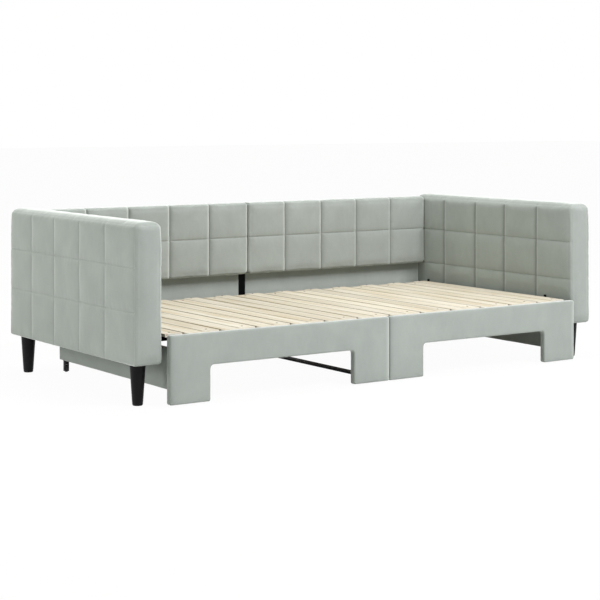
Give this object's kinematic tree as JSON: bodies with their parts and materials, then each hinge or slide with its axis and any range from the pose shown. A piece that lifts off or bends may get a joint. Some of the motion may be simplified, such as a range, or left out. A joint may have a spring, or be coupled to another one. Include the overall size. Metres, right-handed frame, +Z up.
{
  "type": "trundle bed",
  "caption": "Upholstered daybed with padded arms and back on tapered legs, and a slatted bed that rolls out from under it.",
  "frame": {"origin": "centre of the bed's footprint on the floor, with the trundle closed", "axes": "+X to the bed's right, +Y to its back, +Z up"},
  "size_m": [2.231, 1.102, 0.666],
  "materials": {
    "velvet": "sage green short-pile velvet",
    "slat_wood": "plain planed pine",
    "board": "raw board",
    "black_steel": "black powder coat",
    "black_plastic": "satin black",
    "wheel_rubber": "dark grey rubber"
  },
  "bodies": {
    "daybed": {"arm_core_left": "board", "arm_core_right": "board", "arm_cover_left": "velvet", "arm_cover_right": "velvet", "leg_front_left": "black_plastic", "leg_front_right": "black_plastic", "leg_rear_left": "black_plastic", "leg_rear_right": "black_plastic", "side_rail_left": "black_steel", "side_rail_right": "black_steel", "back_board_left": "velvet", "back_board_right": "velvet", "back_cushion_left": "velvet", "back_cushion_right": "velvet", "front_beam": "black_steel", "rear_rail": "black_steel", "centre_support": "black_steel", "slat_1": "slat_wood", "slat_2": "slat_wood", "slat_3": "slat_wood", "slat_4": "slat_wood", "slat_5": "slat_wood", "slat_6": "slat_wood", "slat_7": "slat_wood", "slat_8": "slat_wood", "slat_9": "slat_wood", "slat_10": "slat_wood", "slat_11": "slat_wood", "slat_12": "slat_wood", "slat_13": "slat_wood"},
    "trundle": {"front_panel_left": "velvet", "front_panel_right": "velvet", "side_board_left": "velvet", "side_board_right": "velvet", "front_ledger": "board", "rear_board": "board", "trundle_slat_1": "slat_wood", "trundle_slat_2": "slat_wood", "trundle_slat_3": "slat_wood", "trundle_slat_4": "slat_wood", "trundle_slat_5": "slat_wood", "trundle_slat_6": "slat_wood", "trundle_slat_7": "slat_wood", "trundle_slat_8": "slat_wood", "trundle_slat_9": "slat_wood", "trundle_slat_10": "slat_wood", "trundle_slat_11": "slat_wood", "trundle_slat_12": "slat_wood", "caster_fork_front_left": "black_plastic", "caster_fork_front_middle": "black_plastic", "caster_fork_front_right": "black_plastic", "caster_fork_rear_left": "black_plastic", "caster_fork_rear_middle": "black_plastic", "caster_fork_rear_right": "black_plastic"},
    "wheel_front_left": {"caster_wheel_front_left": "wheel_rubber"},
    "wheel_front_middle": {"caster_wheel_front_middle": "wheel_rubber"},
    "wheel_front_right": {"caster_wheel_front_right": "wheel_rubber"},
    "wheel_rear_left": {"caster_wheel_rear_left": "wheel_rubber"},
    "wheel_rear_middle": {"caster_wheel_rear_middle": "wheel_rubber"},
    "wheel_rear_right": {"caster_wheel_rear_right": "wheel_rubber"}
  },
  "joints": [
    {"name": "trundle_slide", "type": "slide", "parent": "daybed", "child": "trundle", "axis": [0, -1, 0], "range_m": [0, 0.8]},
    {"name": "wheel_front_left_roll", "type": "hinge", "parent": "trundle", "child": "wheel_front_left", "pos_m": [-0.9415, -0.4877, 0.015], "axis": [1, 0, 0], "range_deg": [-10, 3080]},
    {"name": "wheel_front_middle_roll", "type": "hinge", "parent": "trundle", "child": "wheel_front_middle", "pos_m": [0.07, -0.5027, 0.015], "axis": [1, 0, 0], "range_deg": [-10, 3080]},
    {"name": "wheel_front_right_roll", "type": "hinge", "parent": "trundle", "child": "wheel_front_right", "pos_m": [0.9415, -0.4877, 0.015], "axis": [1, 0, 0], "range_deg": [-10, 3080]},
    {"name": "wheel_rear_left_roll", "type": "hinge", "parent": "trundle", "child": "wheel_rear_left", "pos_m": [-0.9415, 0.396, 0.015], "axis": [1, 0, 0], "range_deg": [-10, 3080]},
    {"name": "wheel_rear_middle_roll", "type": "hinge", "parent": "trundle", "child": "wheel_rear_middle", "pos_m": [0.07, 0.3857, 0.015], "axis": [1, 0, 0], "range_deg": [-10, 3080]},
    {"name": "wheel_rear_right_roll", "type": "hinge", "parent": "trundle", "child": "wheel_rear_right", "pos_m": [0.9415, 0.396, 0.015], "axis": [1, 0, 0], "range_deg": [-10, 3080]}
  ],
  "couplings": [
    {"joint": "wheel_front_left_roll", "follows": "trundle_slide", "rad_per_m": 66.667},
    {"joint": "wheel_front_middle_roll", "follows": "trundle_slide", "rad_per_m": 66.667},
    {"joint": "wheel_front_right_roll", "follows": "trundle_slide", "rad_per_m": 66.667},
    {"joint": "wheel_rear_left_roll", "follows": "trundle_slide", "rad_per_m": 66.667},
    {"joint": "wheel_rear_middle_roll", "follows": "trundle_slide", "rad_per_m": 66.667},
    {"joint": "wheel_rear_right_roll", "follows": "trundle_slide", "rad_per_m": 66.667}
  ]
}
